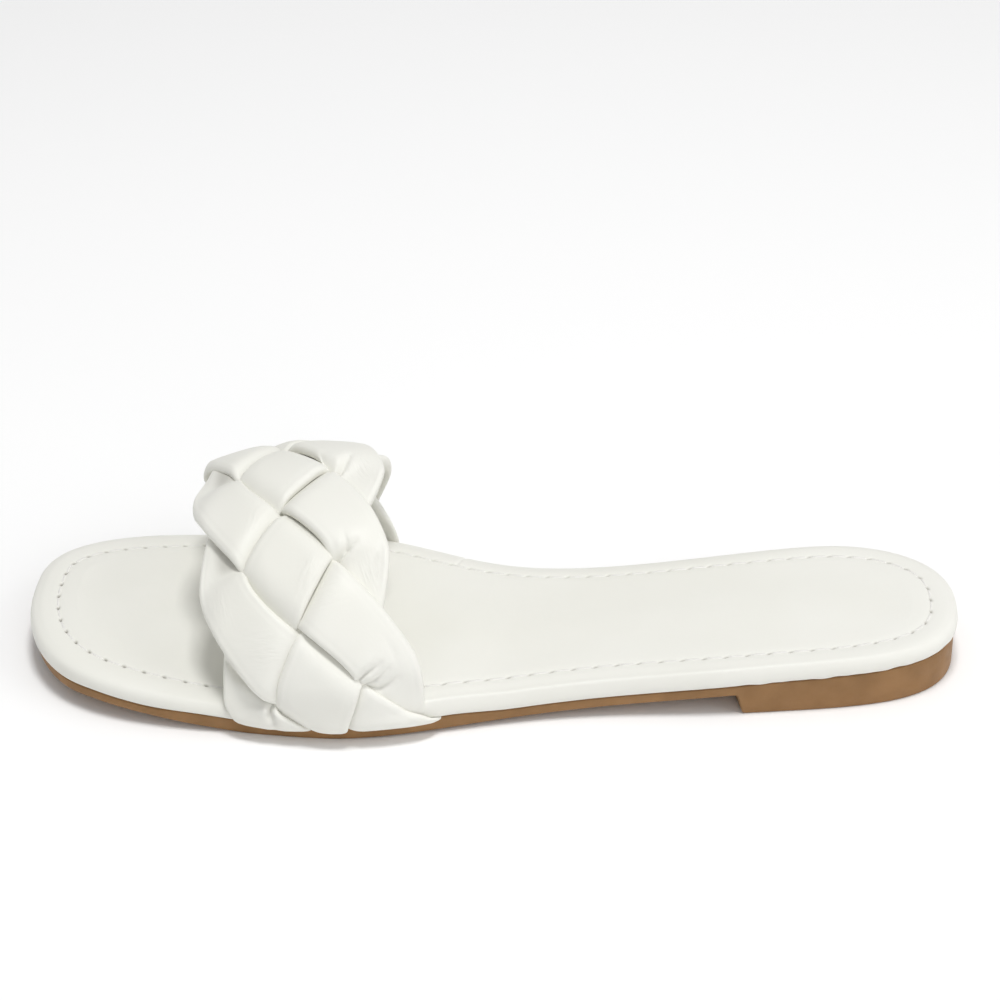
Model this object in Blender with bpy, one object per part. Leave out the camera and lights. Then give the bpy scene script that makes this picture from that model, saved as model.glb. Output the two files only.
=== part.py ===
"""Left braided slide sandal: rubber outsole with a low heel, wrapped footbed, sock panel and braided band.

Frame: +X to the toe, +Y to the wearer's left (the outer side of a left foot), +Z up.
The origin lies on the floor under the middle of the shoe. Sizes are in millimetres until a mesh is made.
"""
from collections import namedtuple

import bmesh
import bpy
import numpy as np

MM = 0.001
GAP = 0.3
SHARP_ANGLE = 0.6

# Sole: length, the heel-to-toe line and a row of reaches and heights for each station
LENGTH = 250.0
LAST_LINE_Y = -4.2
SoleRow = namedtuple("SoleRow", "share lateral medial seam")
SOLE = (
    SoleRow(0.00, 30.0, 30.4, 10.8),
    SoleRow(0.12, 29.9, 29.8, 9.9),
    SoleRow(0.25, 32.8, 25.9, 8.0),
    SoleRow(0.38, 35.8, 21.3, 5.8),
    SoleRow(0.50, 41.7, 23.6, 4.6),
    SoleRow(0.62, 47.6, 35.6, 3.9),
    SoleRow(0.74, 47.0, 38.8, 2.7),
    SoleRow(0.86, 46.1, 33.4, 5.8),
    SoleRow(1.00, 52.0, 26.8, 8.7),
)
RoundEnd = namedtuple("RoundEnd", "length power")
HEEL_ROUND = RoundEnd(44.0, 2.45)
TOE_ROUND_LATERAL = RoundEnd(51.5, 2.1)
TOE_ROUND_MEDIAL = RoundEnd(43.0, 3.25)
STATIONS = 50

# Outsole: strip thickness, heel breast and edge rounding
SOLE_THICK = 2.8
SOLE_INSET = 0.9
SOLE_EDGE = 0.7
HEEL_TAPER = 1.2
HEEL_TAPER_ABOVE_EDGE = 0.9
BREAST_LATERAL = 59.5
BREAST_MEDIAL = 64.0
BREAST_BULGE = 4.0
BREAST_RAKE = 1.0
BREAST_FADE = 30.0
BOTTOM_COLUMNS = 6

# Footbed: a row for each ring of its section, from the underside over the rim into the sock's recess
RimRow = namedtuple("RimRow", "inset rise")
RIM = (
    RimRow(1.6, 0.0),
    RimRow(0.4, 0.5),
    RimRow(0.0, 2.2),
    RimRow(0.3, 3.9),
    RimRow(1.2, 5.0),
    RimRow(2.6, 5.5),
    RimRow(4.6, 5.5),
    RimRow(6.6, 5.0),
    RimRow(6.8, 3.7),
)
INSOLE_RIM = (
    RimRow(7.1, 4.0),
    RimRow(7.1, 4.7),
    RimRow(8.4, 5.2),
)

# Braided band: the arch over the foot and a row for each station along it, outer foot to inner foot
ARCH_TOP = 46.2
ARCH_RISE = 42.6
ARCH_POWER = 2.2
ARCH_SKEW = -6.0
ARCH_FLARE = 0.056
ARCH_HALF = 46.5
FOOT_OUT = 3.2
FOOT_TUCK = 1.8
FOOT_DROP = 0.2
BAND_HALF = 28.0
ARC_SAMPLES = 721
BandRow = namedtuple("BandRow", "share forward lean spread droop")
BAND = (
    BandRow(0.00, 38.5, 0.29, 1.11, 0.0),
    BandRow(0.25, 49.3, 0.18, 1.00, 3.2),
    BandRow(0.50, 55.6, 0.08, 1.00, 3.5),
    BandRow(0.75, 57.1, -0.01, 1.00, 2.5),
    BandRow(1.00, 55.0, -0.09, 0.97, 0.0),
)
# Braid: how its columns lie across the band, toe side to heel side, and the run of one strand
ColumnRow = namedtuple("ColumnRow", "place across")
COLUMNS = (
    ColumnRow(-2.5, -24.5),
    ColumnRow(-1.0, -11.9),
    ColumnRow(0.0, 0.0),
    ColumnRow(1.0, 13.0),
    ColumnRow(2.5, 29.0),
)
PLACE_SAMPLES = 101
EDGE_PLACE = 2.2
STRANDS = 4
ROW_LENGTH = 33.8
FIRST_ROW = 27.4
TURN_ROUND = 0.93
TURN_SCALE = 1.06
TURN_NARROW = 0.24
STRIP_HALF_THICK = 1.8
STRIP_LIFT = 1.8
STRIP_EDGE = 0.2
STRIP_CROWN_POWER = 2.2
STRIP_REACH = 0.015
EDGE_CATCH = 0.08
STEP_CATCH = 0.16
STEP_WIDTH = 0.05
MIN_CELL = 0.02
CREVICE_HALF = 0.6
SQUEEZE = 0.58
SQUEEZE_START = 5.0
SQUEEZE_RUN = 14.0
INNER_LIFT = 1.6
INNER_LIFT_RUN = 6.0
BAND_STEPS = 58
BAND_COLUMNS = 32

# Lasting margin: the band's thin ends under the footbed
MARGIN_DEPTH = 10.0
MARGIN_ROOT = 0.5
MARGIN_THICK = 1.2
RECESS_BELOW = 1.0
RECESS_STATIONS = 24

# Looks: colour and roughness of each piece
Finish = namedtuple("Finish", "colour roughness")
WHITE_BRAID = Finish((0.80, 0.80, 0.76, 1.0), 0.45)
WHITE_WRAP = Finish((0.80, 0.80, 0.76, 1.0), 0.50)
WHITE_SOCK = Finish((0.80, 0.80, 0.76, 1.0), 0.55)
TAN_RUBBER = Finish((0.28, 0.16, 0.075, 1.0), 0.60)


def curve_through(knots, values, at):
    """Natural cubic spline through the given values."""
    knots = np.asarray(knots, float)
    values = np.asarray(values, float)
    steps = np.diff(knots)
    slopes = np.diff(values) / steps
    count = len(knots)
    system = np.eye(count)
    right = np.zeros(count)
    for i in range(1, count - 1):
        system[i, i - 1:i + 2] = steps[i - 1], 2 * (steps[i - 1] + steps[i]), steps[i]
        right[i] = 6 * (slopes[i] - slopes[i - 1])
    bend = np.linalg.solve(system, right)
    i = np.clip(np.searchsorted(knots, at) - 1, 0, count - 2)
    d = at - knots[i]
    first = slopes[i] - steps[i] * (2 * bend[i] + bend[i + 1]) / 6
    return values[i] + d * first + d ** 2 * bend[i] / 2 + d ** 3 * (bend[i + 1] - bend[i]) / (6 * steps[i])


def column(rows, name):
    """One named column of a table."""
    return [getattr(row, name) for row in rows]


def smooth_step(u):
    """Rises smoothly from 0 to 1 as u goes from 0 to 1."""
    u = np.clip(u, 0, 1)
    return u * u * (3 - 2 * u)


def rounded_end(distance, end):
    """Share of the full width at a distance from a rounded end of the sole."""
    left = 1 - np.clip(distance / end.length, 0, 1)
    return np.maximum(1 - left ** end.power, 0) ** (1 / end.power)


def reach(share, side):
    """Half width of the sole from the heel-to-toe line; side is 1 for lateral and -1 for medial."""
    name = "lateral" if side > 0 else "medial"
    toe = TOE_ROUND_LATERAL if side > 0 else TOE_ROUND_MEDIAL
    wide = curve_through(column(SOLE, "share"), column(SOLE, name), share)
    return wide * rounded_end(share * LENGTH, HEEL_ROUND) * rounded_end((1 - share) * LENGTH, toe)


def seam_height(share):
    """Height of the line where footbed and outsole meet."""
    return curve_through(column(SOLE, "share"), column(SOLE, "seam"), share)


def station_shares():
    """Stations from heel to toe, close together at both ends, with a pair at the heel breast."""
    shares = (1 - np.cos(np.linspace(0, np.pi, STATIONS))) / 2
    breast = (BREAST_LATERAL + BREAST_MEDIAL) / 2 / LENGTH
    pair = breast + np.array([-0.5, 0.5]) * BREAST_RAKE / LENGTH
    clear = np.abs(shares - breast) > 2 * BREAST_RAKE / LENGTH
    return np.sort(np.concatenate([shares[clear], pair])), breast


SHARES, BREAST = station_shares()
NEAR_BREAST = np.exp(-((SHARES - BREAST) * LENGTH / BREAST_FADE) ** 2)
HALF_STEP = (BREAST_LATERAL - BREAST_MEDIAL) / 2 / LENGTH
LOOP_SHARES = np.concatenate([SHARES + HALF_STEP * NEAR_BREAST, (SHARES - HALF_STEP * NEAR_BREAST)[-2:0:-1]])
LAST = len(SHARES) - 1
LOOP = len(LOOP_SHARES)


def sole_ring(inset, height):
    """Closed loop, heel to toe along the lateral side and back, set in from the outline."""
    sides = np.where(np.arange(LOOP) <= LAST, 1, -1)
    reaches = np.where(sides > 0, reach(LOOP_SHARES, 1), reach(LOOP_SHARES, -1))
    x = (LOOP_SHARES - 0.5) * LENGTH
    y = LAST_LINE_Y + sides * reaches
    run_x = np.roll(x, -1) - np.roll(x, 1)
    run_y = np.roll(y, -1) - np.roll(y, 1)
    run = np.hypot(run_x, run_y)
    return np.column_stack([x + inset * run_y / run, y - inset * run_x / run, height])


def new_object(name, vertices, faces, material):
    """Mesh object with outward faces, smooth shading and its own material."""
    mesh = bpy.data.meshes.new(name)
    mesh.from_pydata((np.asarray(vertices) * MM).tolist(), [], [tuple(face) for face in faces])
    work = bmesh.new()
    work.from_mesh(mesh)
    bmesh.ops.recalc_face_normals(work, faces=work.faces)
    work.to_mesh(mesh)
    work.free()
    mesh.shade_smooth()
    mesh.set_sharp_from_angle(angle=SHARP_ANGLE)
    if material:
        mesh.materials.append(material)
    obj = bpy.data.objects.new(name, mesh)
    bpy.context.scene.collection.objects.link(obj)
    return obj


def finished(name, look):
    """Principled material of one piece."""
    material = bpy.data.materials.new(name)
    material.use_nodes = True
    shader = material.node_tree.nodes["Principled BSDF"]
    shader.inputs["Base Color"].default_value = look.colour
    shader.inputs["Roughness"].default_value = look.roughness
    shader.inputs["Metallic"].default_value = 0.0
    return material


def wall_faces(rings):
    """Quads between each ring of the sole and the next."""
    faces = []
    for r in range(rings - 1):
        for i in range(LOOP):
            j = (i + 1) % LOOP
            faces.append((r * LOOP + i, r * LOOP + j, (r + 1) * LOOP + j, (r + 1) * LOOP + i))
    return faces


def ladder_faces(start):
    """Flat cap of one ring: rungs from the lateral to the medial side."""
    faces = [(start, start + 1, start + LOOP - 1)]
    for i in range(1, LAST - 1):
        faces.append((start + i, start + i + 1, start + LOOP - i - 1, start + LOOP - i))
    faces.append((start + LAST - 1, start + LAST, start + LAST + 1))
    return faces


def ring_solid(name, rings, material):
    """Closed solid from a stack of rings with a cap on the first and the last."""
    faces = wall_faces(len(rings)) + ladder_faces(0) + ladder_faces((len(rings) - 1) * LOOP)
    return new_object(name, np.vstack(rings), faces, material)


def sole_bottom(share, before_breast):
    """Underside of the outsole: flat heel, then the strip under the seam, flat again under the ball."""
    return np.where(before_breast, 0.0, np.maximum(seam_height(share) - SOLE_THICK, 0.0))


def make_outsole():
    """Strip and heel block in one moulding, with a breast wall between heel and shank."""
    station = np.where(np.arange(LOOP) <= LAST, np.arange(LOOP), LOOP - np.arange(LOOP))
    heel = SHARES[station] < BREAST
    top = seam_height(LOOP_SHARES)
    bottom = sole_bottom(LOOP_SHARES, heel)
    rings = [
        sole_ring(SOLE_INSET, top),
        sole_ring(SOLE_INSET + HEEL_TAPER_ABOVE_EDGE * heel, bottom + SOLE_EDGE),
        sole_ring(SOLE_INSET + SOLE_EDGE + HEEL_TAPER * heel, bottom),
    ]
    vertices = [*np.vstack(rings)]
    faces = wall_faces(len(rings)) + ladder_faces(0)
    low = (len(rings) - 1) * LOOP
    edge = rings[-1]
    rows = []
    for i in range(1, LAST):
        lateral, medial = edge[i], edge[LOOP - i]
        row = [low + i]
        for k in range(1, BOTTOM_COLUMNS):
            across = k / BOTTOM_COLUMNS
            point = lateral * (1 - across) + medial * across
            point[0] += BREAST_BULGE * 4 * across * (1 - across) * NEAR_BREAST[i]
            row.append(len(vertices))
            vertices.append(point)
        rows.append(row + [low + LOOP - i])
    for row, after in zip(rows, rows[1:]):
        for k in range(BOTTOM_COLUMNS):
            faces.append((row[k], row[k + 1], after[k + 1], after[k]))
    for k in range(BOTTOM_COLUMNS):
        faces.append((low, rows[0][k], rows[0][k + 1]))
        faces.append((low + LAST, rows[-1][k + 1], rows[-1][k]))
    return new_object("outsole", np.array(vertices), faces, finished("tan_rubber", TAN_RUBBER))


def rim_rings(rows):
    """Rings of a section table, standing on the seam line."""
    base = seam_height(LOOP_SHARES) + GAP
    return [sole_ring(row.inset, base + row.rise) for row in rows]


def arch_section():
    """Half ellipse of the band with squarer shoulders: arc length, width share and height share."""
    angle = np.linspace(0, np.pi, ARC_SAMPLES)
    width = np.sign(np.cos(angle)) * np.abs(np.cos(angle)) ** (2 / ARCH_POWER)
    rise = np.abs(np.sin(angle)) ** (2 / ARCH_POWER)
    run = np.hypot(np.diff(ARCH_HALF * width + ARCH_SKEW * rise ** 2), np.diff(ARCH_RISE * rise))
    return np.concatenate([[0], np.cumsum(run)]), width, rise


ARC, ARC_WIDTH, ARC_RISE = arch_section()
BAND_LENGTH = ARC[-1]


def band_value(along, name):
    """One column of the band table at a length along the band."""
    return curve_through(column(BAND, "share"), column(BAND, name), along / BAND_LENGTH)


def band_point(along, across, lift):
    """Point of the band: along it from the outer foot, across it towards the heel, lifted off its middle."""
    x = band_value(along, "forward") - across
    share = x / LENGTH + 0.5
    width = np.interp(along, ARC, ARC_WIDTH)
    rise = np.interp(along, ARC, ARC_RISE)
    side = np.where(width > 0, reach(share, 1) + LAST_LINE_Y, reach(share, -1) - LAST_LINE_Y)
    off_middle = across / BAND_HALF
    y = width * (side + FOOT_OUT - FOOT_TUCK * off_middle ** 2) + ARCH_SKEW * rise ** 2
    low = seam_height(share) - FOOT_DROP
    z = low + (ARCH_TOP - low) * rise * (1 + ARCH_FLARE * off_middle)
    slope_y = np.gradient(ARCH_HALF * ARC_WIDTH + ARCH_SKEW * ARC_RISE ** 2, ARC)
    slope_z = np.gradient(ARCH_RISE * ARC_RISE, ARC)
    out_y = np.interp(along, ARC, slope_z)
    out_z = -np.interp(along, ARC, slope_y)
    size = np.hypot(out_y, out_z)
    return np.stack([x, y + lift * out_y / size, z + lift * out_z / size], axis=-1)


def strand_wave(phase):
    """Centre line of a strand in columns: a zigzag of four rows with rounded turns."""
    return TURN_SCALE * 4 / np.pi * np.arcsin(TURN_ROUND * np.sin(np.pi * (phase - 0.5) / 2))


def strand_half(phase):
    """Half width of a strand in columns, narrower where it turns at the band's edge."""
    return 1 - TURN_NARROW * np.sin(np.pi * (phase - 0.5) / 2) ** 4


def strand_level(phase):
    """Over (1) or under (-1): over, under, over on the way across, then under, over, under on the way back."""
    phase = np.mod(phase, 4)
    back = phase >= 2
    local = np.where(back, phase - 2, phase)
    level = np.where(local < 1, np.cos(2 * np.pi * local), np.cos(np.pi * (local - 1)))
    return np.where(back, -level, level)


def strand_phases(row):
    """Phases of all strands at a row of the braid; rows count up from the outer foot."""
    return [index - row for index in range(STRANDS)]


PLACES = np.linspace(COLUMNS[0].place, COLUMNS[-1].place, PLACE_SAMPLES)
PLACES_ACROSS = curve_through(column(COLUMNS, "place"), column(COLUMNS, "across"), PLACES)


def braid_place(along, across):
    """Row and column of the braid at a place on the band; rows lean, and droop at the toe edge."""
    place = np.interp(across / band_value(along, "spread"), PLACES_ACROSS, PLACES)
    droop = band_value(along, "droop") * np.maximum(-1 - place, 0) ** 2
    return (along - FIRST_ROW - band_value(along, "lean") * across + droop) / ROW_LENGTH, place


def band_edge(along, side):
    """Scalloped edge of the band, in millimetres across; side is 1 for heel and -1 for toe."""
    spread = band_value(along, "spread")
    across = np.interp(EDGE_PLACE * side, PLACES, PLACES_ACROSS) * spread
    row, _ = braid_place(along, across)
    ends = [side * strand_wave(phase) + strand_half(phase) for phase in strand_phases(row)]
    return np.interp(side * np.max(ends, axis=0), PLACES, PLACES_ACROSS) * spread


def on_strip_edges(along, across, face):
    """Moves grid points onto the strips' edges and to the foot of their steps; face is 1 outside, -1 inside."""
    row, place = braid_place(along, across)
    nearest = np.full(place.shape, EDGE_CATCH + STEP_CATCH)
    moved = place.copy()
    for phase in strand_phases(row):
        off_centre = place - strand_wave(phase)
        outward = np.sign(off_centre)
        past_edge = np.abs(off_centre) - strand_half(phase)
        target = place - outward * (past_edge - np.where(past_edge > EDGE_CATCH, STEP_WIDTH, 0))
        within = (past_edge > -EDGE_CATCH) & (np.abs(past_edge) < nearest)
        closer = within & (face * strand_level(phase) > 0)
        nearest = np.where(closer, np.abs(past_edge), nearest)
        moved = np.where(closer, target, moved)
    order = MIN_CELL * np.arange(place.shape[1])
    moved = np.maximum.accumulate(moved - order, axis=1) + order
    moved = np.interp(moved, PLACES, PLACES_ACROSS) * band_value(along, "spread")
    moved[:, [0, -1]] = across[:, [0, -1]]
    return moved


def braid_skin(along, across, face):
    """Lift of one skin of the band: the strand furthest out (face 1) or furthest in (face -1) at each place."""
    row, place = braid_place(along, across)
    lift = np.full(place.shape, CREVICE_HALF)
    for phase in strand_phases(row):
        off = np.abs(place - strand_wave(phase)) / strand_half(phase)
        crown = np.maximum(1 - np.clip(off, 0, 1) ** STRIP_CROWN_POWER, 0) ** (1 / STRIP_CROWN_POWER)
        half = STRIP_HALF_THICK * (STRIP_EDGE + (1 - STRIP_EDGE) * crown)
        level = STRIP_LIFT * strand_level(phase)
        lift = np.where(off <= 1 + STRIP_REACH, np.maximum(lift, face * level + half), lift)
    from_end = np.minimum(along, BAND_LENGTH - along)
    squeeze = SQUEEZE + (1 - SQUEEZE) * smooth_step((from_end - SQUEEZE_START) / SQUEEZE_RUN)
    return face * lift * squeeze


def margin_row(x, side, inset, rise):
    """Row of the lasting margin: points under the footbed, set in from the sole's side."""
    share = x / LENGTH + 0.5
    y = LAST_LINE_Y + side * (reach(share, side) - inset)
    return np.column_stack([x, y, seam_height(share) + rise])


def split_quad(skin, level, r, c):
    """Two triangles of one cell of a skin, split along the diagonal that follows the strips' edges."""
    a, b, d, e = skin[r, c], skin[r, c + 1], skin[r + 1, c + 1], skin[r + 1, c]
    falling = abs(level[r, c] - level[r + 1, c + 1])
    rising = abs(level[r, c + 1] - level[r + 1, c])
    if falling < rising:
        return [(a, b, d), (a, d, e)]
    return [(a, b, e), (b, d, e)]


def make_upper():
    """Braided band as one wall with its strips raised on both skins and its ends turned under."""
    steps = np.linspace(0, BAND_LENGTH, BAND_STEPS)
    span = np.linspace(0, 1, BAND_COLUMNS)
    toe_edge, heel_edge = band_edge(steps, -1), band_edge(steps, 1)
    across = toe_edge[:, None] * (1 - span) + heel_edge[:, None] * span
    along = np.repeat(steps[:, None], BAND_COLUMNS, axis=1)
    outer_across, inner_across = on_strip_edges(along, across, 1), on_strip_edges(along, across, -1)
    outer_lift, inner_lift = braid_skin(along, outer_across, 1), braid_skin(along, inner_across, -1)
    outer = band_point(along, outer_across, outer_lift)
    inner = band_point(along, inner_across, inner_lift)
    from_end = np.minimum(along, BAND_LENGTH - along)
    inner[..., 2] += INNER_LIFT * (1 - smooth_step(from_end / INNER_LIFT_RUN))
    skins = []
    for skin, rise in ((outer, GAP), (inner, GAP + MARGIN_THICK)):
        lateral_x, medial_x = skin[0][:, 0], skin[-1][:, 0]
        tucked = [margin_row(lateral_x, 1, depth, rise) for depth in (MARGIN_DEPTH, MARGIN_ROOT)]
        tucked_in = [margin_row(medial_x, -1, depth, rise) for depth in (MARGIN_ROOT, MARGIN_DEPTH)]
        skins.append(np.stack(tucked + list(skin) + tucked_in))
    rows = len(skins[0])
    index = np.arange(2 * rows * BAND_COLUMNS).reshape(2, rows, BAND_COLUMNS)
    faces = []
    for skin, lift in zip(index, (outer_lift, inner_lift)):
        level = np.pad(lift, ((2, 2), (0, 0)), mode="edge")
        for r in range(rows - 1):
            for c in range(BAND_COLUMNS - 1):
                faces += split_quad(skin, level, r, c)
    for r in range(rows - 1):
        for c in (0, BAND_COLUMNS - 1):
            faces.append((index[0, r, c], index[0, r + 1, c], index[1, r + 1, c], index[1, r, c]))
    for c in range(BAND_COLUMNS - 1):
        for r in (0, rows - 1):
            faces.append((index[0, r, c], index[0, r, c + 1], index[1, r, c + 1], index[1, r, c]))
    vertices = np.concatenate([skin.reshape(-1, 3) for skin in skins])
    return new_object("upper", vertices, faces, finished("white_braid", WHITE_BRAID))


def cut_recess(footbed, along, side):
    """Recess under the footbed's edge for one end of the band."""
    ends = sorted(band_value(along, "forward") - band_edge(along, end) for end in (-1, 1))
    x = np.linspace(*ends, RECESS_STATIONS)
    x[0] -= GAP
    x[-1] += GAP
    corners = (
        (-FOOT_OUT, -RECESS_BELOW),
        (-FOOT_OUT, 2 * GAP + MARGIN_THICK),
        (MARGIN_DEPTH + GAP, 2 * GAP + MARGIN_THICK),
        (MARGIN_DEPTH + GAP, -RECESS_BELOW),
    )
    rows = [margin_row(x, side, inset, rise) for inset, rise in corners]
    sides = len(corners)
    faces = [tuple(range(sides)), tuple(range((len(x) - 1) * sides, len(x) * sides))]
    for i in range(len(x) - 1):
        for k in range(sides):
            n = (k + 1) % sides
            faces.append((i * sides + k, i * sides + n, (i + 1) * sides + n, (i + 1) * sides + k))
    name = "lateral_recess" if side > 0 else "medial_recess"
    cutter = new_object(name, np.stack(rows, axis=1).reshape(-1, 3), faces, None)
    cutter.hide_render = True
    cutter.display_type = "WIRE"
    cut = footbed.modifiers.new(name, "BOOLEAN")
    cut.operation = "DIFFERENCE"
    cut.solver = "EXACT"
    cut.object = cutter


for old in list(bpy.data.objects):
    bpy.data.objects.remove(old, do_unlink=True)

make_outsole()
footbed = ring_solid("footbed", rim_rings(RIM), finished("white_wrap", WHITE_WRAP))
cut_recess(footbed, 0.0, 1)
cut_recess(footbed, BAND_LENGTH, -1)
ring_solid("insole", rim_rings(INSOLE_RIM), finished("white_sock", WHITE_SOCK))
make_upper()
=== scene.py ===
"""Left braided slide sandal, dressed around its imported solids.

Shapes are worked out in millimetres in the part's own frame: +X to the toe, +Y to the outer side, +Z up.
"""

import bmesh
import bpy
import numpy as np
from mathutils import Matrix


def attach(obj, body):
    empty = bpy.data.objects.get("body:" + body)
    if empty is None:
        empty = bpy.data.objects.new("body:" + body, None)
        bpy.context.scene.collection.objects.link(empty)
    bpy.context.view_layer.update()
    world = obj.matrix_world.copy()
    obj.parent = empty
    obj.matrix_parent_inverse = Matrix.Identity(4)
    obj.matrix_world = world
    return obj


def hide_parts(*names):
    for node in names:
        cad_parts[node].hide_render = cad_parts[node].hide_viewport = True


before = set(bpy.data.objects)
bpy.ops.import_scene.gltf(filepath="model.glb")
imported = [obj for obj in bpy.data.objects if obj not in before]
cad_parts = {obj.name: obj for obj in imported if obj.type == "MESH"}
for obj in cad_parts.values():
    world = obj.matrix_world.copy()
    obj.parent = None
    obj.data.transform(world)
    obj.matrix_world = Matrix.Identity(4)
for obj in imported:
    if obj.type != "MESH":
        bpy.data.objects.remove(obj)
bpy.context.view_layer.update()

# Outsole
# One moulding of tan rubber: a thin strip with toe spring and, behind a near-vertical breast, a low heel
# block. It is cemented under the footbed and stands a little inside the footbed's edge.
MM = 0.001
LENGTH = 249.1
LAST_LINE_Y = -4.2
# Half widths and height of the seam at shares of the length, and the two rounded ends in plan
SOLE_SHARE = (0.00, 0.12, 0.25, 0.38, 0.50, 0.62, 0.74, 0.86, 1.00)
LATERAL_REACH = (30.0, 29.9, 33.8, 36.1, 41.7, 48.6, 47.8, 46.1, 52.0)
MEDIAL_REACH = (30.2, 29.5, 24.9, 21.7, 24.4, 36.0, 38.8, 33.0, 26.8)
SEAM_HEIGHT = (10.8, 9.9, 8.4, 5.7, 4.0, 3.1, 2.7, 5.6, 8.6)
HEEL_ROUND = {"length": 44.0, "power": 2.45}
TOE_ROUND = {1: {"length": 51.5, "power": 2.1}, -1: {"length": 43.0, "power": 2.95}}
SOLE_THICK = (2.8, 2.8, 2.8, 2.8, 2.8, 2.8, 2.75, 2.5, 3.2)
# Heel breast: its distance from the heel tip on both sides, its bulge, and the sections across it
BREAST_LATERAL = 58.4
BREAST_MEDIAL = 62.9
BREAST_BULGE = 2.4
BREAST_CLEAR = 0.4
BREAST_FADE = 48.0
BREAST_RUN = (-1.5, -1.1, -0.8, -0.6, -0.45, 0.35, 0.5, 0.7, 1.1, 2.0)
BREAST_RISE = (0.0, 0.015, 0.06, 0.16, 0.24, 0.80, 0.88, 0.95, 0.985, 1.0)
# Stations along the sole, columns across its underside
SOLE_STATIONS = 300
BOTTOM_COLUMNS = 24
# Towards the toe the moulding stands further back under the wrap
TOE_SET_BACK = 0.45
TOE_START = 0.90
# Round the toe the wrap reaches lower on its wall, and the moulding's top lies lower with it
TOE_DROP = 0.9
TOE_DROP_FROM = 0.903
TOE_DROP_RUN = 0.048
# The band's outer foot lifts the footbed's edge: how much, and where along the sole that starts, turns
# and ends
STRAP_RAISE = 1.1
STRAP_RAISE_FROM = (-8.0, 10.0)
STRAP_RAISE_TURN = (30.0, 50.0)
STRAP_RAISE_END = (72.0, 90.0)
# Side of the moulding: how far in, and how high between bottom and top
SOLE_SIDE_INSET = (1.2, 0.8, 0.7, 0.7, 0.65, 0.65, 0.80, 1.25)
SOLE_SIDE_BELOW_TOP = (0.0, 0.12, 0.45)
SOLE_SIDE_ABOVE_BOTTOM = (0.75, 0.22, 0.0)
# Tan rubber: shades, patches a metre and their detail, roughness, and the grain's bump strength and depth
TAN_SHADES = ((0.255, 0.134, 0.050), (0.330, 0.177, 0.070))
TAN_PATCHES = (120.0, 6.0)
RUBBER_ROUGH_PATCHES = 400.0
RUBBER_ROUGH = (0.50, 0.62)
RUBBER_GRAIN_PATCHES = 1800.0
RUBBER_GRAIN = (0.25, 0.0002)
# Noise values that count as none and as full
NOISE_RANGE = (0.3, 0.7)
# Colour sockets of the mix node, which share their names with its number sockets
MIX_FIRST, MIX_SECOND, MIX_RESULT = 6, 7, 2


def curve_through(knots, values, at):
    """Natural cubic spline: piecewise cubics through the values, with no bend at the two ends."""
    knots = np.asarray(knots, float)
    values = np.asarray(values, float)
    steps = np.diff(knots)
    slopes = np.diff(values) / steps
    system = np.eye(len(knots))
    right = np.zeros(len(knots))
    for i in range(1, len(knots) - 1):
        system[i, i - 1:i + 2] = steps[i - 1], 2 * (steps[i - 1] + steps[i]), steps[i]
        right[i] = 6 * (slopes[i] - slopes[i - 1])
    bend = np.linalg.solve(system, right)
    i = np.clip(np.searchsorted(knots, at) - 1, 0, len(knots) - 2)
    d = at - knots[i]
    first = slopes[i] - steps[i] * (2 * bend[i] + bend[i + 1]) / 6
    return values[i] + d * first + d ** 2 * bend[i] / 2 + d ** 3 * (bend[i + 1] - bend[i]) / (6 * steps[i])


def rounded_end(distance, end):
    """Share of the full width near a rounded end: a superellipse of the end's length and power."""
    left = 1 - np.clip(distance / end["length"], 0, 1)
    return np.maximum(1 - left ** end["power"], 0) ** (1 / end["power"])


def reach(share, side):
    """Half width of the sole at a share of its length: the side's spline times the two rounded ends."""
    wide = curve_through(SOLE_SHARE, LATERAL_REACH if side > 0 else MEDIAL_REACH, share)
    return wide * rounded_end(share * LENGTH, HEEL_ROUND) * rounded_end((1 - share) * LENGTH, TOE_ROUND[side])


def seam_height(share):
    """Height of the line where footbed and outsole meet: a spline along the length."""
    return curve_through(SOLE_SHARE, SEAM_HEIGHT, share)


def sole_loop(lateral, medial):
    """Sole edge in plan, heel tip to toe tip by the lateral shares and back by the medial ones.
    Gives the shares, the points and the unit vectors into the sole, a quarter turn from the edge's run."""
    share = np.concatenate([lateral, medial[-2:0:-1]])
    side = np.where(np.arange(len(share)) < len(lateral), 1, -1)
    x = (share - 0.5) * LENGTH
    y = LAST_LINE_Y + side * np.where(side > 0, reach(share, 1), reach(share, -1))
    run = np.stack([np.roll(x, -1) - np.roll(x, 1), np.roll(y, -1) - np.roll(y, 1)])
    run /= np.hypot(*run)
    return share, np.stack([x, y], axis=1), np.stack([run[1], -run[0]], axis=1)


def loop_ring(plan, inward, inset, height):
    """Closed ring of points: the plan moved inward by the inset, at the given height."""
    inset = np.broadcast_to(inset, len(plan))
    height = np.broadcast_to(height, len(plan))
    return np.column_stack([plan + inset[:, None] * inward, height])


def loop_walls(rings, count):
    """Quads between each closed ring of points and the next."""
    i = np.arange(count)
    j = (i + 1) % count
    start = np.arange(rings - 1)[:, None] * count
    return np.stack([start + i, start + j, start + count + j, start + count + i], axis=-1).reshape(-1, 4)


def rung_points(ring, columns):
    """Points between each lateral point of a ring and the medial point across from it, evenly spaced."""
    half = len(ring) // 2
    across = (np.arange(1, columns) / columns)[None, :, None]
    lateral, medial = ring[1:half, None], ring[:half:-1, None]
    return lateral * (1 - across) + medial * across


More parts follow.
